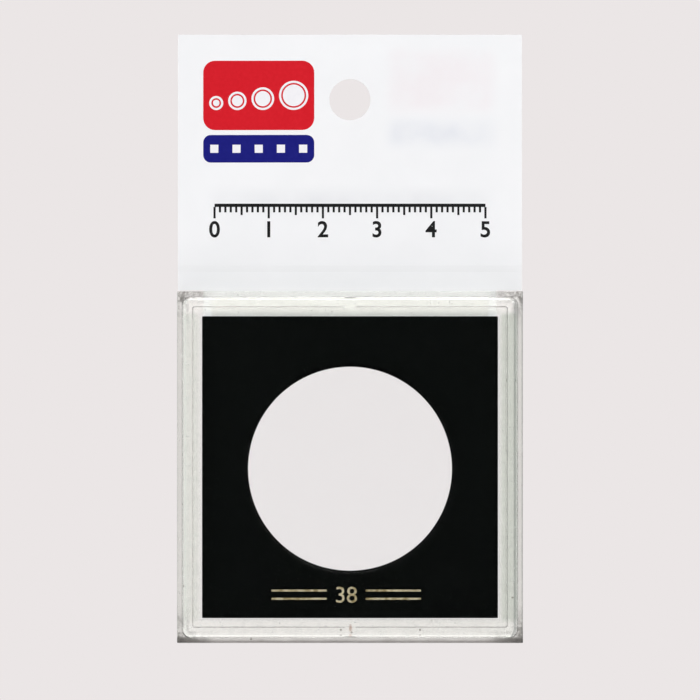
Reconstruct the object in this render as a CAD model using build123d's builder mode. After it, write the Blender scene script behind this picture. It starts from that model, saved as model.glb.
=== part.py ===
"""A push-together coin holder, hung from a white film header.

Two clear mouldings, a tray and a lid, close over a black insert with a hole for one coin. A header
of two film leaves is welded along its top and lower edges, and its back leaf is stuck to the tray.

Sizes are in millimetres. The origin is the centre of the hang hole, midway between the two leaves.
+Z is up, +X is right, and the front of the holder faces -Y. Depths below are measured forwards.
"""

import os

from build123d import *

os.makedirs("parts", exist_ok=True)

# The coin and the insert that holds it
coin_diameter = 38.1
coin_clearance = 0.05
coin_drop = 0.35
coin_lead_in = 0.4
ledge_width = 0.33
ledge_thickness = 0.5
insert_thickness = 3.0
insert_corner = 0.2

# The holder, from its outer edge inwards
holder_width = 63.5
holder_height = 64.6
tray_wall = 1.0
lid_gap = 0.05
lid_wall = 1.9
rib_gap = 0.15
rib_wall = 1.1
insert_gap = 0.4

# The holder, from its back to its front
tray_floor = 1.6
seat_gap = 0.1
lid_pane = 1.6
lid_proud = 1.2
rib_end_gap = 0.15
skirt_end_gap = 0.2

# Moulded corners and edges
tray_corner = 0.2
lid_corner = 1.5
rib_corner = 0.12
tray_back_round = 0.15
tray_rim_round = 0.15
lid_front_round = 0.9
rib_round = 0.1
skirt_lead_in = 0.2
vent_width = 2.0
vent_height = 1.4

# The film header
film_thickness = 0.12
leaf_gap = 0.04
header_top = 12.0
hang_hole_diameter = 7.6
holder_drop = 35.4
weld_rise = 3.6
top_weld_height = 0.6
lower_weld_height = 1.2
fold_rise = 0.2
fold_gap = 0.05
fold_land = 0.02
tail_length = 12.0
tail_inset = 4.75
strip_thickness = 0.1
strip_margin = 1.5

# Depths, forwards of the middle of the header
leaf_back = -leaf_gap / 2 - film_thickness
leaf_front = -leaf_gap / 2
front_leaf_back = leaf_gap / 2
front_leaf_front = front_leaf_back + film_thickness
tray_back = leaf_front + strip_thickness
floor_front = tray_back + tray_floor
insert_back = floor_front + seat_gap
lid_inside = insert_back + insert_thickness + seat_gap
lid_front = lid_inside + lid_pane
tray_rim = lid_front - lid_proud
rib_end = lid_inside - rib_end_gap
skirt_end = floor_front + skirt_end_gap

# How far each of the nested frames stands in from the holder's outline
lid_inset = tray_wall + lid_gap
skirt_inset = lid_inset + lid_wall
rib_inset = skirt_inset + rib_gap
room_inset = rib_inset + rib_wall
insert_inset = room_inset + insert_gap

# The film is cut to the holder's width, with a narrower tail
header_width = holder_width
tail_width = header_width - 2 * tail_inset

# Heights
holder_top = -holder_drop
holder_middle = holder_top - holder_height / 2
coin_middle = holder_middle - coin_drop
front_leaf_drop = holder_drop - weld_rise
hang_hole_radius = hang_hole_diameter / 2
coin_hole_radius = coin_diameter / 2 + coin_clearance
fold_line = holder_top + fold_rise
leaf_end = fold_line + fold_gap / 2
tail_end = fold_line - fold_gap / 2
tail_height = tail_end - holder_top + tail_length
fold_bevel = film_thickness - fold_land


def framed(inset):
    """The holder's width and height, less the same inset all round."""
    return holder_width - 2 * inset, holder_height - 2 * inset


# The back tray: floor, outer wall and the rib that locates the insert
with BuildPart() as back_tray:
    with BuildSketch(Plane.XZ.offset(tray_back)):
        with Locations((0, holder_middle)):
            RectangleRounded(holder_width, holder_height, tray_corner)
    extrude(amount=tray_rim - tray_back)
    with BuildSketch(Plane.XZ.offset(floor_front)):
        with Locations((0, holder_middle)):
            RectangleRounded(*framed(tray_wall), lid_corner + lid_gap)
    extrude(amount=tray_rim - floor_front, mode=Mode.SUBTRACT)
    fillet(back_tray.edges().group_by(Axis.Y)[-1], tray_back_round)
    fillet(back_tray.edges().group_by(Axis.Y)[0], tray_rim_round)
    with BuildSketch(Plane.XZ.offset(floor_front)):
        with Locations((0, holder_middle)):
            RectangleRounded(*framed(rib_inset), rib_corner)
            Rectangle(*framed(room_inset), mode=Mode.SUBTRACT)
    extrude(amount=rib_end - floor_front)
    rib_top = back_tray.faces().filter_by(Axis.Y).group_by(Axis.Y)[1][0]
    fillet(rib_top.outer_wire().edges(), rib_round)

# The front lid: a clear pane with a skirt that pushes in between the tray's wall and rib
with BuildPart() as front_lid:
    with BuildSketch(Plane.XZ.offset(skirt_end)):
        with Locations((0, holder_middle)):
            RectangleRounded(*framed(lid_inset), lid_corner)
    extrude(amount=lid_front - skirt_end)
    fillet(front_lid.edges().group_by(Axis.Y)[0], lid_front_round)
    with BuildSketch(Plane.XZ.offset(skirt_end)):
        with Locations((0, holder_middle)):
            RectangleRounded(*framed(skirt_inset), rib_corner + rib_gap)
    extrude(amount=lid_inside - skirt_end, mode=Mode.SUBTRACT)
    skirt_foot = front_lid.faces().filter_by(Axis.Y).group_by(Axis.Y)[-1][0]
    chamfer(skirt_foot.inner_wires()[0].edges(), skirt_lead_in)
    # Slots through the skirt's end let the air out as the lid goes on
    with BuildSketch(Plane.XZ.offset(skirt_end)):
        with Locations((0, holder_middle)):
            Rectangle(vent_width, holder_height - 2 * lid_inset)
    extrude(amount=vent_height, mode=Mode.SUBTRACT)

# The insert: a board that fills the rib, with the coin's seat, its ledge and its lead-in
with BuildPart() as coin_insert:
    with BuildSketch(Plane.XZ.offset(insert_back)):
        with Locations((0, holder_middle)):
            RectangleRounded(*framed(insert_inset), insert_corner)
        with Locations((0, coin_middle)):
            Circle(coin_hole_radius - ledge_width, mode=Mode.SUBTRACT)
    extrude(amount=insert_thickness)
    # The seat stops short of the back, and leaves a ledge for the coin's rim
    with BuildSketch(Plane.XZ.offset(insert_back + ledge_thickness)):
        with Locations((0, coin_middle)):
            Circle(coin_hole_radius)
    extrude(amount=insert_thickness - ledge_thickness, mode=Mode.SUBTRACT)
    hole_rims = coin_insert.edges().filter_by(GeomType.CIRCLE).sort_by(SortBy.RADIUS)[-2:]
    chamfer(hole_rims.sort_by(Axis.Y)[0], coin_lead_in)

# The header's two leaves, both punched for the peg
with BuildPart() as header_front_leaf:
    with BuildSketch(Plane.XZ.offset(front_leaf_back)):
        front_leaf_low = -front_leaf_drop + lower_weld_height
        front_leaf_height = header_top - top_weld_height - front_leaf_low
        with Locations((0, front_leaf_low + front_leaf_height / 2)):
            Rectangle(header_width, front_leaf_height)
        Circle(hang_hole_radius, mode=Mode.SUBTRACT)
    extrude(amount=film_thickness)

with BuildPart() as header_back_leaf:
    with BuildSketch(Plane.XZ.offset(leaf_back)):
        back_leaf_height = header_top - top_weld_height - leaf_end
        with Locations((0, leaf_end + back_leaf_height / 2)):
            Rectangle(header_width, back_leaf_height)
        Circle(hang_hole_radius, mode=Mode.SUBTRACT)
    extrude(amount=film_thickness)
    # The leaf's half of the crease, a groove along the front of the fold
    chamfer(header_back_leaf.edges().group_by(Axis.Z)[0].sort_by(Axis.Y)[0], fold_bevel)

# The trim weld along the top edge, through both leaves
with BuildPart() as header_top_weld:
    with BuildSketch(Plane.XZ.offset(leaf_back)):
        with Locations((0, header_top - top_weld_height / 2)):
            Rectangle(header_width, top_weld_height)
    extrude(amount=front_leaf_front - leaf_back)

# The weld that closes the front leaf's lower edge onto the back leaf
with BuildPart() as header_lower_weld:
    with BuildSketch(Plane.XZ.offset(leaf_front)):
        with Locations((0, lower_weld_height / 2 - front_leaf_drop)):
            Rectangle(header_width, lower_weld_height)
    extrude(amount=front_leaf_front - leaf_front)

# The tail of the back leaf, narrower than the leaf, and the strip that sticks it to the tray
with BuildPart() as header_tail:
    with BuildSketch(Plane.XZ.offset(leaf_back)):
        with Locations((0, tail_end - tail_height / 2)):
            Rectangle(tail_width, tail_height)
    extrude(amount=film_thickness)
    # The tail's half of the crease
    chamfer(header_tail.edges().group_by(Axis.Z)[-1].sort_by(Axis.Y)[0], fold_bevel)

with BuildPart() as adhesive_strip:
    with BuildSketch(Plane.XZ.offset(leaf_front)):
        with Locations((0, holder_top - tail_length / 2)):
            Rectangle(tail_width - 2 * strip_margin, tail_length - 2 * strip_margin)
    extrude(amount=strip_thickness)

back_tray.part.label = "back_tray"
front_lid.part.label = "front_lid"
coin_insert.part.label = "coin_insert"
header_front_leaf.part.label = "header_front_leaf"
header_back_leaf.part.label = "header_back_leaf"
header_top_weld.part.label = "header_top_weld"
header_lower_weld.part.label = "header_lower_weld"
header_tail.part.label = "header_tail"
adhesive_strip.part.label = "adhesive_strip"

for piece in (
    back_tray,
    front_lid,
    coin_insert,
    header_front_leaf,
    header_back_leaf,
    header_top_weld,
    header_lower_weld,
    header_tail,
    adhesive_strip,
):
    export_step(piece.part, f"parts/{piece.part.label}.step")
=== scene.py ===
# A clear coin holder with a black insert, hung from a white film header.
# Metres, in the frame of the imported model: front towards -Y, up +Z, origin in the hang hole.
import math

import bmesh
import bpy
from mathutils import Matrix, Vector


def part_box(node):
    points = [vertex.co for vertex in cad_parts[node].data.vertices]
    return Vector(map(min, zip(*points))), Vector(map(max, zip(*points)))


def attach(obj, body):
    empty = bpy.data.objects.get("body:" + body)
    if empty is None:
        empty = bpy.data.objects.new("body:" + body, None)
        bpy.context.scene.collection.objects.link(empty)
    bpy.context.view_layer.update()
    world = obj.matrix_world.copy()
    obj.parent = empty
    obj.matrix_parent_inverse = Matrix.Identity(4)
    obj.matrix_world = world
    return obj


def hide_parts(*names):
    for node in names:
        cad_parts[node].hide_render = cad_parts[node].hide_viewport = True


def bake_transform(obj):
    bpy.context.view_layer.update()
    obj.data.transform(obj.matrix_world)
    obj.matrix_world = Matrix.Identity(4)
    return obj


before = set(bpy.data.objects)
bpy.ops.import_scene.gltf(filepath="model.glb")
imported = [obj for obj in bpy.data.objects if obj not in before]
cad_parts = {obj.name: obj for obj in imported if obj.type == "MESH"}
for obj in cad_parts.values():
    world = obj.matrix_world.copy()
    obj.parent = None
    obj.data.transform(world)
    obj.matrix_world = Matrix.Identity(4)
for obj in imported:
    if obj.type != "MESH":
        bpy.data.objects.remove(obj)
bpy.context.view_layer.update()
mm = 0.001

# The back tray: the clear half behind, a floor with an outer wall and an inner rib.
# Crystal polystyrene, injection moulded in one shot; the film header is stuck to its back.
tray_low, tray_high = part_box("back_tray")
holder_middle = (tray_low + tray_high) / 2
holder_extra = (tray_high.z - tray_low.z - tray_high.x + tray_low.x) / 2
insert_low, insert_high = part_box("coin_insert")
insert_half = insert_high.x
lid_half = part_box("front_lid")[1].x


def linear(hex_colour):
    """An sRGB hex colour as the linear values that a shader socket takes."""
    parts = [int(hex_colour[i:i + 2], 16) / 255 for i in (1, 3, 5)]
    return [p / 12.92 if p <= 0.04045 else ((p + 0.055) / 1.055) ** 2.4 for p in parts] + [1.0]


def node(tree, kind, inputs=None, **settings):
    """Adds a shader node. Its inputs are given as values, or as the sockets that feed them."""
    made = tree.nodes.new(kind)
    for name, value in settings.items():
        setattr(made, name, value)
    for name, value in (inputs or {}).items():
        if isinstance(value, bpy.types.NodeSocket):
            tree.links.new(value, made.inputs[name])
        else:
            made.inputs[name].default_value = value
    return made


def new_material(name):
    """An empty material, its node tree and the object coordinates that its patterns read."""
    material = bpy.data.materials.new(name)
    material.use_nodes = True
    tree = material.node_tree
    tree.nodes.clear()
    return material, tree, node(tree, "ShaderNodeTexCoord").outputs["Object"]


def dress(name, material):
    """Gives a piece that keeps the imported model's mesh its material."""
    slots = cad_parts[name].data.materials
    slots.clear()
    slots.append(material)


# Crystal polystyrene: water clear and glossy, with painted shade as a grey cast on its rails and wall.
# Handling leaves scuffs, dust and haze on the rails and dirt in the corners; the panes stay clean.
crystal_polystyrene, tree, place = new_material("crystal_polystyrene")
scuff_size = 2.2 * mm
dust_spacing = 1.7 * mm
grit_spacing = 5.0 * mm
flow_size = 5.0 * mm
corner_reach = 6.0 * mm
rail_fade = 1.0 * mm
wall_fade = 0.1 * mm
edge_start, edge_full = 1.2 * mm, 0.2 * mm
foot_start, foot_full = 0.40 * mm, -0.20 * mm
foot_climb, corner_climb = -0.8 * mm, -0.5 * mm
gate_mark = Vector((0.1 * mm, 0, -97.3 * mm))
stain_spread = (1 / (0.4 * mm), 0.0, 1 / (0.9 * mm))
axes = node(tree, "ShaderNodeSeparateXYZ", {"Vector": place}).outputs
across = node(tree, "ShaderNodeMath", {0: axes["X"]}, operation="ABSOLUTE").outputs[0]
rise = node(tree, "ShaderNodeMath", {0: axes["Z"], 1: holder_middle.z}, operation="SUBTRACT").outputs[0]
rise = node(tree, "ShaderNodeMath", {0: rise}, operation="ABSOLUTE").outputs[0]
rise = node(tree, "ShaderNodeMath", {0: rise, 1: holder_extra}, operation="SUBTRACT").outputs[0]
outward = node(tree, "ShaderNodeMath", {0: across, 1: rise}, operation="MAXIMUM").outputs[0]
cornerward = node(tree, "ShaderNodeMath", {0: across, 1: rise}, operation="MINIMUM").outputs[0]
rail = {"Value": outward, "From Min": insert_half, "From Max": insert_half + rail_fade}
rail = node(tree, "ShaderNodeMapRange", rail).outputs["Result"]
wall = {"Value": outward, "From Min": lid_half, "From Max": lid_half + wall_fade}
wall = node(tree, "ShaderNodeMapRange", wall).outputs["Result"]
blotches = {"Vector": place, "Scale": 1 / scuff_size, "Detail": 6.0, "Roughness": 0.7, "Distortion": 0.6}
blotch = node(tree, "ShaderNodeTexNoise", blotches).outputs["Fac"]
scuff = {"Value": blotch, "From Min": 0.5, "From Max": 0.72}
scuff = node(tree, "ShaderNodeMapRange", scuff).outputs["Result"]
scuff = node(tree, "ShaderNodeMath", {0: scuff, 1: rail}, operation="MULTIPLY").outputs[0]
dust = node(tree, "ShaderNodeTexVoronoi", {"Vector": place, "Scale": 1 / dust_spacing}).outputs["Distance"]
dust = {"Value": dust, "From Min": 0.10, "From Max": 0.06, "To Max": 0.35}
dust = node(tree, "ShaderNodeMapRange", dust).outputs["Result"]
haze = node(tree, "ShaderNodeMath", {0: scuff, 1: 0.10, 2: 0.03}, operation="MULTIPLY_ADD").outputs[0]
haze = node(tree, "ShaderNodeMath", {0: haze, 1: dust}, operation="ADD").outputs[0]
haze = node(tree, "ShaderNodeMath", {0: haze, 1: rail}, operation="MULTIPLY").outputs[0]
clearness = node(tree, "ShaderNodeMath", {0: 1.0, 1: haze}, operation="SUBTRACT").outputs[0]
gloss = node(tree, "ShaderNodeMath", {0: scuff, 1: 0.16, 2: 0.02}, operation="MULTIPLY_ADD").outputs[0]
flow = {"Vector": place, "Scale": 1 / flow_size, "Detail": 2.0}
flow = node(tree, "ShaderNodeTexNoise", flow).outputs["Fac"]
ripple = {"Height": flow, "Strength": 0.15, "Distance": 0.05 * mm}
ripple = node(tree, "ShaderNodeBump", ripple).outputs["Normal"]
ripple = {"Height": scuff, "Strength": 0.2, "Distance": 0.03 * mm, "Normal": ripple}
ripple = node(tree, "ShaderNodeBump", ripple).outputs["Normal"]
# Painted shade: a patchy grey cast on the rails, strongest on the right-hand rail, weaker along the bottom,
# and gone along the top
rail_shade_across = {"Value": axes["X"], "From Min": -lid_half, "From Max": lid_half, "To Min": 0.46, "To Max": 1.0}
rail_shade_across = node(tree, "ShaderNodeMapRange", rail_shade_across).outputs["Result"]
low_end = {"Value": axes["Z"], "From Min": insert_low.z, "From Max": insert_low.z - rail_fade}
low_end = node(tree, "ShaderNodeMapRange", low_end | {"To Min": 1.0, "To Max": 0.25}).outputs["Result"]
top_end = {"Value": axes["Z"], "From Min": insert_high.z, "From Max": insert_high.z + rail_fade}
shade_free_top = node(tree, "ShaderNodeMapRange", top_end | {"To Min": 1.0, "To Max": 0.0}).outputs["Result"]
wall_shade_top = node(tree, "ShaderNodeMapRange", top_end | {"To Min": 1.0, "To Max": 0.6}).outputs["Result"]
patchy = {"Value": blotch, "From Min": 0.3, "From Max": 0.7, "To Min": 0.7, "To Max": 1.3}
rail_shade = node(tree, "ShaderNodeMapRange", patchy).outputs["Result"]
for share in (rail, rail_shade_across, low_end, shade_free_top):
    rail_shade = node(tree, "ShaderNodeMath", {0: rail_shade, 1: share}, operation="MULTIPLY").outputs[0]
warm = {0: rail, 6: linear("#FEFEFE"), 7: linear("#FEFEFC")}
warm = node(tree, "ShaderNodeMix", warm, data_type="RGBA").outputs[2]
tint = {0: rail_shade, 6: warm, 7: linear("#EBEEE9")}
tint = node(tree, "ShaderNodeMix", tint, data_type="RGBA").outputs[2]
# Painted shade makes the tray's wall greyer, less so at the top, and a painted shadow darkens its foot, most
# at the corners; there is dirt in its corners too
shaded_wall = node(tree, "ShaderNodeMath", {0: wall, 1: wall_shade_top}, operation="MULTIPLY").outputs[0]
wall_shade_tone = {0: blotch, 6: linear("#D4D4D0"), 7: linear("#EBEBE7")}
wall_shade_tone = node(tree, "ShaderNodeMix", wall_shade_tone, data_type="RGBA").outputs[2]
tint = node(tree, "ShaderNodeMix", {0: shaded_wall, 6: tint, 7: wall_shade_tone}, data_type="RGBA").outputs[2]
corner = {"Value": cornerward, "From Min": lid_half - corner_reach, "From Max": lid_half}
corner = node(tree, "ShaderNodeMapRange", corner).outputs["Result"]
# The painted shadow along the wall's foot: its edge wanders with the flow and climbs into the corners
foot_shadow_edge = axes["Z"]
for spread, climb in ((flow, foot_climb), (corner, corner_climb)):
    foot_shadow_edge = {0: spread, 1: climb, 2: foot_shadow_edge}
    foot_shadow_edge = node(tree, "ShaderNodeMath", foot_shadow_edge, operation="MULTIPLY_ADD").outputs[0]
foot = {"Value": foot_shadow_edge, "From Min": tray_low.z + foot_start, "From Max": tray_low.z + foot_full}
foot = node(tree, "ShaderNodeMapRange", foot).outputs["Result"]
foot_shadow_tone = {0: corner, 6: linear("#A5A3A0"), 7: linear("#666462")}
foot_shadow_tone = node(tree, "ShaderNodeMix", foot_shadow_tone, data_type="RGBA").outputs[2]
tint = node(tree, "ShaderNodeMix", {0: foot, 6: tint, 7: foot_shadow_tone}, data_type="RGBA").outputs[2]
edge = {"Value": outward, "From Min": lid_half - edge_start, "From Max": lid_half - edge_full}
edge = node(tree, "ShaderNodeMapRange", edge).outputs["Result"]
dirt = {"Value": blotch, "From Min": 0.44, "From Max": 0.56}
dirt = node(tree, "ShaderNodeMapRange", dirt).outputs["Result"]
for share in (corner, edge):
    dirt = node(tree, "ShaderNodeMath", {0: dirt, 1: share}, operation="MULTIPLY").outputs[0]
tint = node(tree, "ShaderNodeMix", {0: dirt, 6: tint, 7: linear("#82817D")}, data_type="RGBA").outputs[2]
# A few dark specks are caught in the rails, and a brown stain marks where the tray's runner was cut off
grit = node(tree, "ShaderNodeTexVoronoi", {"Vector": place, "Scale": 1 / grit_spacing}).outputs["Distance"]
grit = {"Value": grit, "From Min": 0.05, "From Max": 0.03}
grit = node(tree, "ShaderNodeMapRange", grit).outputs["Result"]
grit = node(tree, "ShaderNodeMath", {0: grit, 1: rail}, operation="MULTIPLY").outputs[0]
tint = node(tree, "ShaderNodeMix", {0: grit, 6: tint, 7: linear("#6E6A62")}, data_type="RGBA").outputs[2]
stain = node(tree, "ShaderNodeVectorMath", {0: place, 1: gate_mark}, operation="SUBTRACT").outputs[0]
stain = node(tree, "ShaderNodeVectorMath", {0: stain, 1: stain_spread}, operation="MULTIPLY").outputs[0]
stain = node(tree, "ShaderNodeVectorMath", {0: stain}, operation="LENGTH").outputs["Value"]
stain = node(tree, "ShaderNodeMapRange", {"Value": stain, "From Min": 1.0, "From Max": 0.4}).outputs["Result"]
stain = node(tree, "ShaderNodeMath", {0: stain, 1: blotch}, operation="MULTIPLY").outputs[0]
tint = node(tree, "ShaderNodeMix", {0: stain, 6: tint, 7: linear("#CDB5A8")}, data_type="RGBA").outputs[2]
plastic = node(
    tree,
    "ShaderNodeBsdfPrincipled",
    {
        "Base Color": tint,
        "Roughness": gloss,
        "IOR": 1.59,
        "Transmission Weight": clearness,
        "Normal": ripple,
    },
)
passing = node(tree, "ShaderNodeBsdfTransparent")
shadow_ray = node(tree, "ShaderNodeLightPath").outputs["Is Shadow Ray"]
surface = {0: shadow_ray, 1: plastic.outputs[0], 2: passing.outputs[0]}
surface = node(tree, "ShaderNodeMixShader", surface).outputs[0]
node(tree, "ShaderNodeOutputMaterial", {"Surface": surface})
dress("back_tray", crystal_polystyrene)

# The insert: a black square that fills the rib, with a round seat for one coin and a ledge behind it.
# Black plastic, moulded, with a fine satin grain on its face; it lies loose between tray and lid.
black_board, tree, place = new_material("black_satin_board")
grain_size = 0.35 * mm
cloud_size = 14 * mm
grain = node(tree, "ShaderNodeTexNoise", {"Vector": place, "Scale": 1 / grain_size, "Detail": 4.0})
cloud = node(tree, "ShaderNodeTexNoise", {"Vector": place, "Scale": 1 / cloud_size, "Detail": 2.0})
tone = node(
    tree,
    "ShaderNodeMix",
    {0: cloud.outputs["Fac"], 6: linear("#030504"), 7: linear("#060807")},
    data_type="RGBA",
)
sheen = {"Value": grain.outputs["Fac"], "To Min": 0.2, "To Max": 0.28}
sheen = node(tree, "ShaderNodeMapRange", sheen)
tooth = {"Height": grain.outputs["Fac"], "Strength": 0.3, "Distance": 0.02 * mm}
tooth = node(tree, "ShaderNodeBump", tooth)
board = node(
    tree,
    "ShaderNodeBsdfPrincipled",
    {
        "Base Color": tone.outputs[2],
        "Roughness": sheen.outputs["Result"],
        "IOR": 1.5,
        "Specular IOR Level": 0.1,
        "Normal": tooth.outputs["Normal"],
    },
)
node(tree, "ShaderNodeOutputMaterial", {"Surface": board.outputs[0]})
dress("coin_insert", black_board)

# The size mark on the insert: the coin's diameter in figures, between plain rules.
# Gold foil, hot-stamped a few hundredths of a millimetre thick into the board's face.
mark_middle = Vector((-0.7 * mm, insert_low.y, -91.1 * mm))
mark_height = 2.9 * mm
foil_thickness = 0.02 * mm
rule_start, rule_end = 3.6 * mm, 13.7 * mm
rule_height = 0.36 * mm
rule_gap = 1.5 * mm
cap_height = 0.69  # of the font's size
merge_distance = 0.001 * mm
corner_steps = 8


def figures(bm, text, height, middle, weight=0.0):
    """Adds the text's faces to bm, facing forwards, with its figures that tall about that point."""
    curve = bpy.data.curves.new("figures", "FONT")
    curve.body = text
    curve.size = (height - 2 * weight) / cap_height
    curve.offset = weight
    curve.align_x = "CENTER"
    carrier = bpy.data.objects.new("figures", curve)
    mesh = bpy.data.meshes.new_from_object(carrier)
    mesh.transform(Matrix.Translation(middle) @ Matrix.Rotation(math.radians(90), 4, "X")
                   @ Matrix.Translation((0, weight - height / 2, 0)))
    bm.from_mesh(mesh)
    bpy.data.meshes.remove(mesh)
    bpy.data.objects.remove(carrier)
    bpy.data.curves.remove(curve)


def plate(bm, low_x, low_z, high_x, high_z, depth, corner=0.0):
    """Adds one flat face to bm, facing forwards, with its corners rounded to that radius."""
    stood = Matrix.Rotation(math.radians(90), 4, "X")
    placed = Matrix.Translation(((low_x + high_x) / 2, depth, (low_z + high_z) / 2)) @ stood
    sized = placed @ Matrix.Diagonal((high_x - low_x, high_z - low_z, 1.0, 1.0))
    verts = bmesh.ops.create_grid(bm, x_segments=1, y_segments=1, size=0.5, matrix=sized)["verts"]
    if corner:
        bmesh.ops.bevel(
            bm,
            geom=verts,
            offset=corner,
            affect="VERTICES",
            segments=corner_steps,
            profile=0.5,
            material=-1,
        )


def drawn_verts(made):
    """The vertices among what a bmesh operator has drawn out."""
    return [v for v in made["geom"] if isinstance(v, bmesh.types.BMVert)]


def new_piece(name, bm, material):
    """An object of that name from bm, with its material."""
    mesh = bpy.data.meshes.new(name)
    bm.to_mesh(mesh)
    bm.free()
    mesh.materials.append(material)
    piece = bpy.data.objects.new(name, mesh)
    bpy.context.scene.collection.objects.link(piece)
    return piece


# Gold stamping foil: bright metal in thin strokes, duller and browner where the foil took less well.
gold_foil, tree, place = new_material("gold_stamping_foil")
patch_size = 0.9 * mm
patch = node(tree, "ShaderNodeTexNoise", {"Vector": place, "Scale": 1 / patch_size, "Detail": 3.0})
worn = {"Value": patch.outputs["Fac"], "From Min": 0.42, "From Max": 0.62}
worn = node(tree, "ShaderNodeMapRange", worn)
tone = node(
    tree,
    "ShaderNodeMix",
    {0: worn.outputs["Result"], 6: linear("#DCD2B0"), 7: linear("#988A62")},
    data_type="RGBA",
)
dullness = {"Value": worn.outputs["Result"], "To Min": 0.35, "To Max": 0.6}
dullness = node(tree, "ShaderNodeMapRange", dullness)
foil = node(
    tree,
    "ShaderNodeBsdfPrincipled",
    {"Base Color": tone.outputs[2], "Metallic": 0.7, "Roughness": dullness.outputs["Result"]},
)
node(tree, "ShaderNodeOutputMaterial", {"Surface": foil.outputs[0]})

bm = bmesh.new()
figures(bm, "38", mark_height, mark_middle)
for side in (-1, 1):
    for step in (-1, 1):
        low, high = sorted((side * rule_start, side * rule_end))
        rule_middle = mark_middle.z + step * rule_gap / 2
        plate(
            bm,
            mark_middle.x + low,
            rule_middle - rule_height / 2,
            mark_middle.x + high,
            rule_middle + rule_height / 2,
            mark_middle.y,
        )
bmesh.ops.remove_doubles(bm, verts=bm.verts, dist=merge_distance)
raised = drawn_verts(bmesh.ops.extrude_face_region(bm, geom=bm.faces[:]))
bmesh.ops.translate(bm, vec=(0, -foil_thickness, 0), verts=raised)
bmesh.ops.recalc_face_normals(bm, faces=bm.faces)
size_mark = new_piece("size_mark", bm, gold_foil)
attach(size_mark, "insert")

# The front lid: the clear half in front, a pane with a skirt that pushes into the tray.
# Moulded from the same crystal polystyrene, and held by friction alone.
dress("front_lid", crystal_polystyrene)

# The header's back leaf: the longer of two film leaves, whose tail lies on the back of the tray.
# Blown white polythene, cut and punched flat; its mesh is cut in close lines along the holder's top edge,
# where it creases.
leaf_low, leaf_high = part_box("header_back_leaf")
tail_low, tail_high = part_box("header_tail")
front_low, front_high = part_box("header_front_leaf")
film_thickness = leaf_high.y - leaf_low.y
film_width = leaf_high.x - leaf_low.x
film_step = 0.5 * mm
hole_radius = 3.8 * mm
hole_patch = 6.0 * mm
hole_rings = 6
fold_line = (leaf_low.z + tail_high.z) / 2
fold_reach = 0.6 * mm
fold_step = 0.1 * mm
hang_start = fold_line + 1.5 * mm
hang_full = fold_line + 16 * mm
sharp_edge = math.radians(40)
# Each slow wave of the film: its height, its width across, its height up and its start
wave_rise, wave_across, wave_up, wave_start = 0.22 * mm, 58 * mm, 75 * mm, 0.13
slant_rise, slant_across, slant_up, slant_start = 0.12 * mm, 33 * mm, 47 * mm, 0.4
# How far the leaves part in the middle, and how soon they do so above the foot and below the top
puff_rise, puff_foot, puff_top = 0.10 * mm, 6 * mm, 5 * mm
# Each soft crease: its middle x and z, its length, its width, its turn from upright, its rise
creases = (
    (11.4 * mm, -15.4 * mm, 9.0 * mm, 0.9 * mm, -42, 0.10 * mm),
    (14.0 * mm, -13.6 * mm, 6.0 * mm, 0.7 * mm, -75, -0.06 * mm),
    (9.5 * mm, -27.4 * mm, 7.0 * mm, 0.9 * mm, 30, 0.07 * mm),
    (4.2 * mm, -25.2 * mm, 6.0 * mm, 0.8 * mm, -60, -0.05 * mm),
    (-19.0 * mm, -28.5 * mm, 11.0 * mm, 1.6 * mm, 80, 0.08 * mm),
    (-28.6 * mm, 2.0 * mm, 20.0 * mm, 1.4 * mm, 6, 0.07 * mm),
    (24.5 * mm, -27.0 * mm, 9.0 * mm, 1.5 * mm, -70, 0.07 * mm),
)


def smooth_step(value, low, high):
    """0 below low, 1 above high, and an even curve between."""
    t = min(max((value - low) / (high - low), 0.0), 1.0)
    return t * t * (3 - 2 * t)


def sway(x, z):
    """How far forwards the hanging film stands at a point: slow waves, and the soft creases."""
    hang = smooth_step(z, hang_start, hang_full)
    wave = wave_rise * math.sin(math.tau * (x / wave_across + wave_start)) * math.cos(math.tau * z / wave_up)
    wave += slant_rise * math.sin(math.tau * (x / slant_across - z / slant_up + slant_start))
    for middle_x, middle_z, length, width, turn, height in creases:
        along_x, along_z = math.sin(math.radians(turn)), math.cos(math.radians(turn))
        along = (x - middle_x) * along_x + (z - middle_z) * along_z
        aside = (x - middle_x) * along_z - (z - middle_z) * along_x
        wave += height * math.exp(-((2 * along / length) ** 2) - (aside / width) ** 2)
    return hang * wave


def puff(x, z):
    """How far each leaf stands off the other, between the two welds and the side edges."""
    parted = smooth_step(z, front_low.z, front_low.z + puff_foot)
    parted *= smooth_step(-z, -front_high.z, puff_top - front_high.z)
    return puff_rise * parted * (1 - (2 * x / film_width) ** 2)


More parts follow.
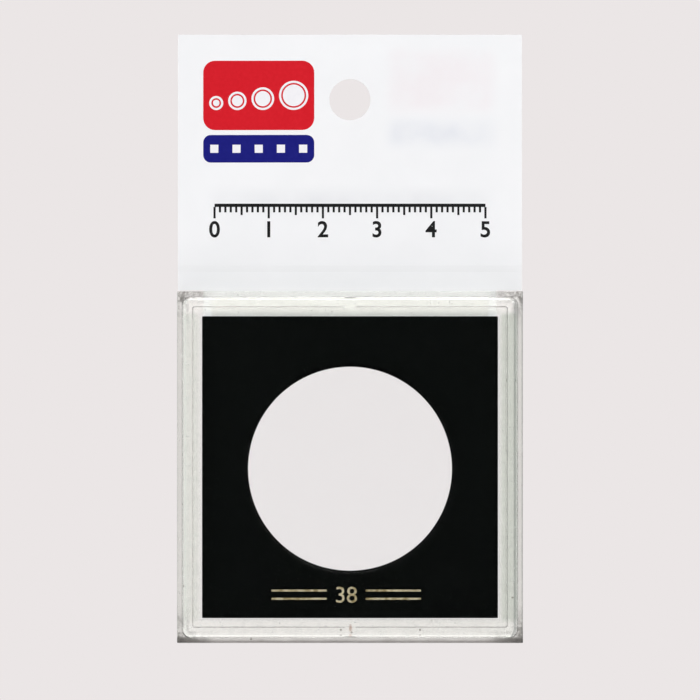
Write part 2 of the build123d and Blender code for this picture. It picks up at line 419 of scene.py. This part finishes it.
def film_sheet(low_z, high_z, front, back, with_hole):
    """A sheet of film as a closed mesh, where front and back give the y of its faces at x and z."""
    bm = bmesh.new()
    stood = Matrix.Translation((0, 0, (low_z + high_z) / 2)) @ Matrix.Rotation(math.radians(90), 4, "X")
    sized = stood @ Matrix.Diagonal((film_width, high_z - low_z, 1.0, 1.0))
    columns = round(film_width / film_step)
    rows = max(2, round((high_z - low_z) / film_step))
    bmesh.ops.create_grid(bm, x_segments=columns, y_segments=rows, size=0.5, matrix=sized)
    if with_hole:
        middles = [(f, f.calc_center_median()) for f in bm.faces]
        patch = [f for f, c in middles if max(abs(c.x), abs(c.z)) < hole_patch]
        bmesh.ops.delete(bm, geom=patch, context="FACES")
        reach = hole_patch + film_step
        near = set(v for v in bm.verts if max(abs(v.co.x), abs(v.co.z)) < reach)
        rim = [e for e in bm.edges if e.is_boundary and near.issuperset(e.verts)]
        inner = drawn_verts(bmesh.ops.extrude_edge_only(bm, edges=rim))
        for v in inner:
            v.co *= hole_radius / v.co.length
        spokes = [e for v in inner for e in v.link_edges if e.other_vert(v) not in inner]
        bmesh.ops.subdivide_edges(bm, edges=spokes, cuts=hole_rings - 1, use_grid_fill=True)
    if low_z < fold_line:
        steps = round(fold_reach / fold_step)
        cuts = [((0, 0, fold_line + i * fold_step), (0, 0, 1)) for i in range(-steps, steps + 1)]
        cuts += [((side, 0, 0), (1, 0, 0)) for side in (tail_low.x, tail_high.x)]
        for point, normal in cuts:
            geometry = bm.verts[:] + bm.edges[:] + bm.faces[:]
            bmesh.ops.bisect_plane(bm, geom=geometry, dist=merge_distance, plane_co=point, plane_no=normal)
        middles = [(f, f.calc_center_median()) for f in bm.faces]
        beside_tail = [f for f, c in middles if c.z < fold_line and abs(c.x) > tail_high.x]
        bmesh.ops.delete(bm, geom=beside_tail, context="FACES")
    for v in bm.verts:
        v.co.y = front(v.co.x, v.co.z)
    for v in drawn_verts(bmesh.ops.extrude_face_region(bm, geom=bm.faces[:])):
        v.co.y = back(v.co.x, v.co.z)
    bmesh.ops.recalc_face_normals(bm, faces=bm.faces)
    for f in bm.faces:
        f.smooth = True
    for e in bm.edges:
        e.smooth = e.calc_face_angle(0.0) < sharp_edge
    return bm


def back_leaf_front(x, z):
    """The y of the front of the back leaf."""
    return leaf_low.y - sway(x, z) + puff(x, z)


def back_leaf_back(x, z):
    """The y of the back of the back leaf."""
    return back_leaf_front(x, z) + film_thickness


# White polythene film: an even, slightly blue white with a soft gloss and a faint orange-peel skin.
# It isn't quite opaque, so each leaf shows a blurred grey ghost of the print on the other one.
def polythene_film(name, ghosts):
    """White film with soft patches, each given as its colour, its middle x and z and its half sizes."""
    material, tree, place = new_material(name)
    skin_size = 0.8 * mm
    cloud_size = 9 * mm
    ghost_blur = 2.0 * mm
    skin = node(tree, "ShaderNodeTexNoise", {"Vector": place, "Scale": 1 / skin_size, "Detail": 3.0})
    cloud = node(tree, "ShaderNodeTexNoise", {"Vector": place, "Scale": 1 / cloud_size, "Detail": 3.0})
    tone = {0: cloud.outputs["Fac"], 6: linear("#F2F4F5"), 7: linear("#F8F9FA")}
    tone = node(tree, "ShaderNodeMix", tone, data_type="RGBA").outputs[2]
    axes = node(tree, "ShaderNodeSeparateXYZ", {"Vector": place}).outputs
    contact = {"Value": cloud.outputs["Fac"], "From Min": 0.25, "From Max": 0.65}
    contact = node(tree, "ShaderNodeMapRange", contact).outputs["Result"]
    for colour, middle_x, middle_z, half_x, half_z in ghosts:
        cover = contact
        for axis, middle, half in (("X", middle_x, half_x), ("Z", middle_z, half_z)):
            off = node(tree, "ShaderNodeMath", {0: axes[axis], 1: middle}, operation="SUBTRACT").outputs[0]
            off = node(tree, "ShaderNodeMath", {0: off}, operation="ABSOLUTE").outputs[0]
            edge = {"Value": off, "From Min": half + ghost_blur, "From Max": half - ghost_blur}
            edge = node(tree, "ShaderNodeMapRange", edge, interpolation_type="SMOOTHSTEP").outputs["Result"]
            cover = node(tree, "ShaderNodeMath", {0: edge, 1: cover}, operation="MULTIPLY").outputs[0]
        tone = {0: cover, 6: tone, 7: linear(colour)}
        tone = node(tree, "ShaderNodeMix", tone, data_type="RGBA").outputs[2]
    gloss = {"Value": cloud.outputs["Fac"], "To Min": 0.3, "To Max": 0.42}
    gloss = node(tree, "ShaderNodeMapRange", gloss).outputs["Result"]
    peel = {"Height": skin.outputs["Fac"], "Strength": 0.15, "Distance": 0.02 * mm}
    peel = node(tree, "ShaderNodeBump", peel).outputs["Normal"]
    film = {"Base Color": tone, "Roughness": gloss, "IOR": 1.51, "Normal": peel}
    film = node(tree, "ShaderNodeBsdfPrincipled", film)
    node(tree, "ShaderNodeOutputMaterial", {"Surface": film.outputs[0]})
    return material


# What shows through of each form printed on the other leaf: the panel, the band and the rule
ghost_forms = (
    ("#F3EFF1", -16.85 * mm, 0.8 * mm, 9.5 * mm, 5.6 * mm),
    ("#E7EAEF", -16.85 * mm, -9.0 * mm, 9.5 * mm, 2.2 * mm),
    ("#EAECEE", 0.0, -21.6 * mm, 25.0 * mm, 1.6 * mm),
)
back_print_rise = 2.8 * mm
back_film = polythene_film("white_film_back", ghost_forms)

bm = film_sheet(tail_low.z, leaf_high.z, back_leaf_front, back_leaf_back, with_hole=True)
back_leaf = new_piece("film_back_leaf", bm, back_film)
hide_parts("header_back_leaf", "header_tail")
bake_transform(back_leaf)

# The strip that sticks the tail to the tray: double-sided tape, rolled on in one band.
# White tissue soaked in adhesive, so that it looks like the film through the tray, with soft fibres in it.
tissue_tape, tree, place = new_material("white_tissue_tape")
fibre_size = 0.7 * mm
fibre_stretch = (0.35, 1.0, 1.0)
along = node(tree, "ShaderNodeVectorMath", {0: place, 1: fibre_stretch}, operation="MULTIPLY").outputs[0]
fibre = {"Vector": along, "Scale": 1 / fibre_size, "Detail": 4.0, "Distortion": 0.8}
fibre = node(tree, "ShaderNodeTexNoise", fibre).outputs["Fac"]
tone = {0: fibre, 6: linear("#E5E6E3"), 7: linear("#EEEFEC")}
tone = node(tree, "ShaderNodeMix", tone, data_type="RGBA").outputs[2]
tack = node(tree, "ShaderNodeMapRange", {"Value": fibre, "To Min": 0.35, "To Max": 0.6}).outputs["Result"]
weave = {"Height": fibre, "Strength": 0.2, "Distance": 0.02 * mm}
weave = node(tree, "ShaderNodeBump", weave).outputs["Normal"]
tape = {"Base Color": tone, "Roughness": tack, "IOR": 1.47, "Normal": weave}
tape = node(tree, "ShaderNodeBsdfPrincipled", tape)
node(tree, "ShaderNodeOutputMaterial", {"Surface": tape.outputs[0]})
tape_low, tape_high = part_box("adhesive_strip")
tape_air = 0.02 * mm
film_air = 0.005 * mm
bm = bmesh.new()
plate(bm, tape_low.x, tape_low.z, tape_high.x, tape_high.z, tape_low.y + tape_air)
for v in drawn_verts(bmesh.ops.extrude_face_region(bm, geom=bm.faces[:])):
    v.co.y = tape_high.y - film_air
bmesh.ops.recalc_face_normals(bm, faces=bm.faces)
tape_strip = new_piece("tape_strip", bm, tissue_tape)
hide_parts("adhesive_strip")
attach(tape_strip, "tray")

# The header's front leaf: the shorter leaf, punched with the back one in the same stroke.
# The same film, joined to the back leaf by a weld along its top and another along its foot.


def front_leaf_front(x, z):
    """The y of the front of the front leaf."""
    return front_low.y - sway(x, z) - puff(x, z)


def front_leaf_back(x, z):
    """The y of the back of the front leaf."""
    return front_leaf_front(x, z) + film_thickness


mirrored = [(form[0], -form[1], form[2] + back_print_rise) + form[3:] for form in ghost_forms]
front_film = polythene_film("white_film_front", mirrored)
bm = film_sheet(front_low.z, front_high.z, front_leaf_front, front_leaf_back, with_hole=True)
front_leaf = new_piece("film_front_leaf", bm, front_film)
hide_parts("header_front_leaf")
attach(front_leaf, "header")

# The two welds: bands where a hot bar has melted both leaves into one.
# The same film; the lower weld thins out to a feather edge on the back leaf.
feather = 0.01 * mm
for weld in ("header_top_weld", "header_lower_weld"):
    weld_low, weld_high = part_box(weld)
    thinning = 0.0 if weld == "header_top_weld" else weld_high.y - weld_low.y - feather

    def weld_front(x, z):
        return weld_low.y - sway(x, z) + thinning * smooth_step(-z, -weld_high.z, -weld_low.z)

    def weld_back(x, z):
        return weld_high.y - sway(x, z)

    bm = film_sheet(weld_low.z, weld_high.z, weld_front, weld_back, with_hole=False)
    band = new_piece(weld.replace("header", "film"), bm, front_film)
    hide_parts(weld)
    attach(band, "header")

# The print on each leaf: a red panel of coin sizes, a blue band under it, and a five-centimetre rule.
# Ink laid on the film's outer face by a printing plate, the same print on the front and the back.
ink_thickness = 0.012 * mm
panel_low, panel_high = Vector((-27.1 * mm, 0, -5.6 * mm)), Vector((-6.6 * mm, 0, 7.2 * mm))
band_low, band_high = Vector((-27.1 * mm, 0, -11.6 * mm)), Vector((-6.6 * mm, 0, -6.5 * mm))
panel_corner = 2.2 * mm
band_corner = 1.4 * mm
coin_radii = [1.3 * mm, 1.7 * mm, 2.1 * mm, 2.7 * mm]
coin_gap = 0.9 * mm
coin_foot = panel_low.z + 3.7 * mm
coin_rim = 0.4 * mm
coin_groove = 0.3 * mm
band_marks = 5
band_mark_size = 1.5 * mm
rule_centimetres = 5
rule_length = rule_centimetres * 10 * mm
rule_line = -19.8 * mm
rule_weight = 0.6 * mm
tick_weight = 0.4 * mm
tick_lengths = (2.1 * mm, 1.0 * mm, 1.5 * mm)  # at a centimetre, a millimetre and a half centimetre
figure_height = 3.0 * mm
figure_weight = 0.08 * mm
figure_gap = 0.5 * mm
disc_sides = 48
mottle_size = 0.6 * mm


def disc(bm, x, z, outer, inner=0.0):
    """Adds a flat disc or ring to bm, facing forwards."""
    placed = Matrix.Translation((x, 0, z)) @ Matrix.Rotation(math.radians(90), 4, "X")
    round_shape = {"segments": disc_sides, "matrix": placed}
    edge = bmesh.ops.create_circle(bm, cap_ends=not inner, radius=outer, **round_shape)["verts"]
    if inner:
        bore = bmesh.ops.create_circle(bm, radius=inner, **round_shape)["verts"]
        loops = dict.fromkeys(e for v in edge + bore for e in v.link_edges)
        bmesh.ops.bridge_loops(bm, edges=list(loops))


def red_panel(bm):
    """The panel behind the coins."""
    plate(bm, panel_low.x, panel_low.z, panel_high.x, panel_high.z, 0, panel_corner)


def blue_band(bm):
    """The band under the panel."""
    plate(bm, band_low.x, band_low.z, band_high.x, band_high.z, 0, band_corner)


def white_coins(bm):
    """Four coins, small to large, on one line, and a row of plain squares on the band."""
    run = 2 * sum(coin_radii) + coin_gap * (len(coin_radii) - 1)
    x = (panel_low.x + panel_high.x - run) / 2
    for radius in coin_radii:
        disc(bm, x + radius, coin_foot + radius, radius, radius - coin_rim)
        disc(bm, x + radius, coin_foot + radius, radius - coin_rim - coin_groove)
        x += 2 * radius + coin_gap
    for count in range(band_marks):
        x = band_low.x + (count + 0.5) * (band_high.x - band_low.x) / band_marks
        z = (band_low.z + band_high.z) / 2
        half = band_mark_size / 2
        plate(bm, x - half, z - half, x + half, z + half, 0)


def black_rule(bm):
    """A rule marked in millimetres and numbered in centimetres."""
    left = -rule_length / 2
    plate(bm, left, rule_line, -left, rule_line + rule_weight, 0)
    ticks = 10 * rule_centimetres
    for count in range(ticks + 1):
        kind = 0 if count % 10 == 0 else 2 if count % 5 == 0 else 1
        x = left + count * rule_length / ticks
        plate(bm, x - tick_weight / 2, rule_line - tick_lengths[kind], x + tick_weight / 2, rule_line, 0)
    for count in range(rule_centimetres + 1):
        foot = rule_line - tick_lengths[0] - figure_gap
        middle = Vector((left + count * rule_length / rule_centimetres, 0, foot - figure_height / 2))
        figures(bm, str(count), figure_height, middle, figure_weight)


def lay_on_film(bm, face, outward, layer):
    """Cuts flat ink along the film's mesh lines, lays it on the film's face and gives it thickness."""
    low_x, high_x = min(v.co.x for v in bm.verts), max(v.co.x for v in bm.verts)
    low_z, high_z = min(v.co.z for v in bm.verts), max(v.co.z for v in bm.verts)
    columns = [film_step * i - film_width / 2 for i in range(round(film_width / film_step))]
    rows = [front_low.z + film_step * i for i in range(round((front_high.z - front_low.z) / film_step))]
    cuts = [((x, 0, 0), (1, 0, 0)) for x in columns if low_x < x < high_x]
    cuts += [((0, 0, z), (0, 0, 1)) for z in rows if low_z < z < high_z]
    for point, normal in cuts:
        geometry = bm.verts[:] + bm.edges[:] + bm.faces[:]
        bmesh.ops.bisect_plane(bm, geom=geometry, dist=merge_distance, plane_co=point, plane_no=normal)
    for v in bm.verts:
        v.co.y = face(v.co.x, v.co.z) + outward * layer * ink_thickness
    raised = drawn_verts(bmesh.ops.extrude_face_region(bm, geom=bm.faces[:]))
    bmesh.ops.translate(bm, vec=(0, outward * ink_thickness, 0), verts=raised)
    bmesh.ops.recalc_face_normals(bm, faces=bm.faces)


# Printing ink: flat colour with the film's own soft gloss, mottled a little where the ink lay thinner.
for name, colour, thin_colour, shape, layer in (
    ("red_panel", "#CC0A1A", "#DA1628", red_panel, 0),
    ("blue_band", "#060870", "#10147E", blue_band, 0),
    ("white_coins", "#F6F6F8", "#ECECF0", white_coins, 1),
    ("black_rule", "#060607", "#0D0D0E", black_rule, 0),
):
    ink, tree, place = new_material(name.split("_")[0] + "_printing_ink")
    mottle = node(tree, "ShaderNodeTexNoise", {"Vector": place, "Scale": 1 / mottle_size, "Detail": 4.0})
    tone = node(
        tree,
        "ShaderNodeMix",
        {0: mottle.outputs["Fac"], 6: linear(colour), 7: linear(thin_colour)},
        data_type="RGBA",
    )
    gloss = {"Value": mottle.outputs["Fac"], "To Min": 0.32, "To Max": 0.46}
    gloss = node(tree, "ShaderNodeMapRange", gloss)
    print_coat = node(
        tree,
        "ShaderNodeBsdfPrincipled",
        {
            "Base Color": tone.outputs[2],
            "Roughness": gloss.outputs["Result"],
            "IOR": 1.5,
            "Specular IOR Level": 0.3,
        },
    )
    node(tree, "ShaderNodeOutputMaterial", {"Surface": print_coat.outputs[0]})
    for side, face, outward in (("front", front_leaf_front, -1), ("back", back_leaf_back, 1)):
        bm = bmesh.new()
        shape(bm)
        if side == "back":
            bmesh.ops.rotate(bm, cent=(0, 0, 0), matrix=Matrix.Rotation(math.pi, 3, "Z"), verts=bm.verts)
            bmesh.ops.translate(bm, vec=(0, 0, back_print_rise), verts=bm.verts)
        lay_on_film(bm, face, outward, layer)
        printed = new_piece(f"{side}_{name}", bm, ink)
        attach(printed, "header")

# The scene around it: a pale floor below the hanging pack, a pale backdrop and soft studio lamps.
floor_height = -136 * mm
floor_reach = 300 * mm
floor_solid = 90 * mm
floor_sides = 96
backdrop_colour = "#EBE6E6"
bm = bmesh.new()
bmesh.ops.create_circle(bm, cap_ends=True, segments=floor_sides, radius=floor_reach)
bmesh.ops.translate(bm, vec=(0, 0, floor_height), verts=bm.verts)
mesh = bpy.data.meshes.new("floor")
bm.to_mesh(mesh)
bm.free()
floor = bpy.data.objects.new("floor", mesh)
bpy.context.scene.collection.objects.link(floor)
pale_floor, tree, place = new_material("pale_floor")
level = node(tree, "ShaderNodeVectorMath", {0: place, 1: (1.0, 1.0, 0.0)}, operation="MULTIPLY").outputs[0]
reach = node(tree, "ShaderNodeVectorMath", {0: level}, operation="LENGTH").outputs["Value"]
fade = {"Value": reach, "From Min": floor_solid, "From Max": floor_reach}
fade = node(tree, "ShaderNodeMapRange", fade, interpolation_type="SMOOTHSTEP")
paint = node(tree, "ShaderNodeBsdfDiffuse", {"Color": linear(backdrop_colour)})
passing = node(tree, "ShaderNodeBsdfTransparent")
surface = {0: fade.outputs["Result"], 1: paint.outputs[0], 2: passing.outputs[0]}
surface = node(tree, "ShaderNodeMixShader", surface).outputs[0]
node(tree, "ShaderNodeOutputMaterial", {"Surface": surface})
floor.data.materials.append(pale_floor)

# The room: pale all round, dark behind the camera, and bright behind the part, with a card each side,
# grey on the left and near white on the right. Boards of the backdrop's colour, to the left and above, fill
# the edges that face them, and what shows through clear plastic elsewhere has that colour too.
world = bpy.data.worlds.new("studio")
bpy.context.scene.world = world
world.use_nodes = True
tree = world.node_tree
tree.nodes.clear()
direction = node(tree, "ShaderNodeTexCoord").outputs["Generated"]
sides = node(tree, "ShaderNodeSeparateXYZ", {"Vector": direction}).outputs
facing = node(tree, "ShaderNodeMapRange", {"Value": sides["Y"], "From Min": -1.0, "From Max": 1.0})
room = node(tree, "ShaderNodeValToRGB", {"Fac": facing.outputs["Result"]})
dark, pale, panel = linear("#101010"), linear("#C4C4C6"), linear("#FFFBFB")
surround = [1.3, 1.3, 1.28, 1.0]
stops = (
    (0.0, dark),
    (0.02, dark),
    (0.04, pale),
    (0.85, pale),
    (0.87, surround),
    (0.975, surround),
    (0.985, panel),
    (1.0, panel),
)
ramp = room.color_ramp
while len(ramp.elements) < len(stops):
    ramp.elements.new(1.0)
for element, (position, colour) in zip(ramp.elements, stops):
    element.position = position
    element.color = colour
rays = node(tree, "ShaderNodeLightPath").outputs
through = {"Value": facing.outputs["Result"], "From Min": 0.87, "From Max": 0.85}
through = node(tree, "ShaderNodeMapRange", through).outputs["Result"]
unmirrored = {0: rays["Glossy Depth"], 1: 0.5}
unmirrored = node(tree, "ShaderNodeMath", unmirrored, operation="LESS_THAN").outputs[0]
for share in (rays["Is Transmission Ray"], unmirrored):
    through = node(tree, "ShaderNodeMath", {0: through, 1: share}, operation="MULTIPLY").outputs[0]
seen_room = {0: through, 6: room.outputs["Color"], 7: linear(backdrop_colour)}
seen_room = node(tree, "ShaderNodeMix", seen_room, data_type="RGBA").outputs[2]
aside = node(tree, "ShaderNodeMath", {0: sides["X"]}, operation="ABSOLUTE").outputs[0]
aside = {"Value": aside, "From Min": 0.07, "From Max": 0.12}
aside = node(tree, "ShaderNodeMapRange", aside).outputs["Result"]
card_side = {"Value": sides["X"], "From Min": -0.06, "From Max": 0.06}
card_side = node(tree, "ShaderNodeMapRange", card_side).outputs["Result"]
right_card_reach = 0.28
behind = {0: card_side, 1: right_card_reach, 2: sides["Y"]}
behind = node(tree, "ShaderNodeMath", behind, operation="MULTIPLY_ADD").outputs[0]
behind = {"Value": behind, "From Min": 0.70, "From Max": 0.74}
behind = node(tree, "ShaderNodeMapRange", behind).outputs["Result"]
card = node(tree, "ShaderNodeMath", {0: aside, 1: behind}, operation="MULTIPLY").outputs[0]
card_tone = {0: card_side, 6: linear("#B8B8B8"), 7: linear("#F8F8F6")}
card_tone = node(tree, "ShaderNodeMix", card_tone, data_type="RGBA").outputs[2]
carded = {0: card, 6: seen_room, 7: card_tone}
carded = node(tree, "ShaderNodeMix", carded, data_type="RGBA").outputs[2]
leftward = node(tree, "ShaderNodeMath", {0: sides["X"], 1: -1.0}, operation="MULTIPLY").outputs[0]
fill = node(tree, "ShaderNodeMath", {0: leftward, 1: sides["Z"]}, operation="MAXIMUM").outputs[0]
fill = node(tree, "ShaderNodeMapRange", {"Value": fill, "From Min": 0.70, "From Max": 0.90}).outputs["Result"]
carded = {0: fill, 6: carded, 7: linear(backdrop_colour)}
carded = node(tree, "ShaderNodeMix", carded, data_type="RGBA").outputs[2]
lit = node(tree, "ShaderNodeBackground", {"Color": carded, "Strength": 1.0})
seen = node(tree, "ShaderNodeBackground", {"Color": linear(backdrop_colour), "Strength": 1.0})
surface = {0: rays["Is Camera Ray"], 1: lit.outputs[0], 2: seen.outputs[0]}
surface = node(tree, "ShaderNodeMixShader", surface).outputs[0]
node(tree, "ShaderNodeOutputWorld", {"Surface": surface})

# Softboxes: one at each side, one above and a weak one low in front, all clear of the lid's reflection.
subject = Vector((0, -3 * mm, -46.2 * mm))
# Each lamp: its direction from the subject, its distance, its side, its power in watts
lamps = {
    "softbox_left": ((-0.65, -0.70, 0.30), 1.0, 0.30, 2.1),
    "softbox_right": ((0.65, -0.70, 0.35), 1.0, 0.30, 2.6),
    "softbox_top": ((0.10, -0.50, 0.86), 1.0, 0.30, 1.5),
    "softbox_low": ((0.00, -0.93, -0.37), 1.0, 0.26, 0.6),
}
for name, (towards, distance, side, power) in lamps.items():
    light = bpy.data.lights.new(name, "AREA")
    light.shape = "SQUARE"
    light.size = side
    light.energy = power
    lamp = bpy.data.objects.new(name, light)
    lamp.location = subject + Vector(towards).normalized() * distance
    lamp.rotation_euler = (-Vector(towards)).to_track_quat("-Z", "Y").to_euler()
    lamp.visible_camera = False
    bpy.context.scene.collection.objects.link(lamp)

# The camera: level with the middle of the pack and far back, so that it sees the holder squarely.
view_height = 128.8 * mm
camera_distance = 0.9
camera_data = bpy.data.cameras.new("camera")
camera_data.sensor_width = 36.0
camera_data.lens = camera_data.sensor_width * camera_distance / view_height
camera = bpy.data.objects.new("camera", camera_data)
camera.location = subject + Vector((0, -camera_distance, 0))
camera.rotation_euler = (math.radians(90), 0, 0)
bpy.context.scene.collection.objects.link(camera)
bpy.context.scene.camera = camera
bpy.context.scene.view_settings.view_transform = "Standard"
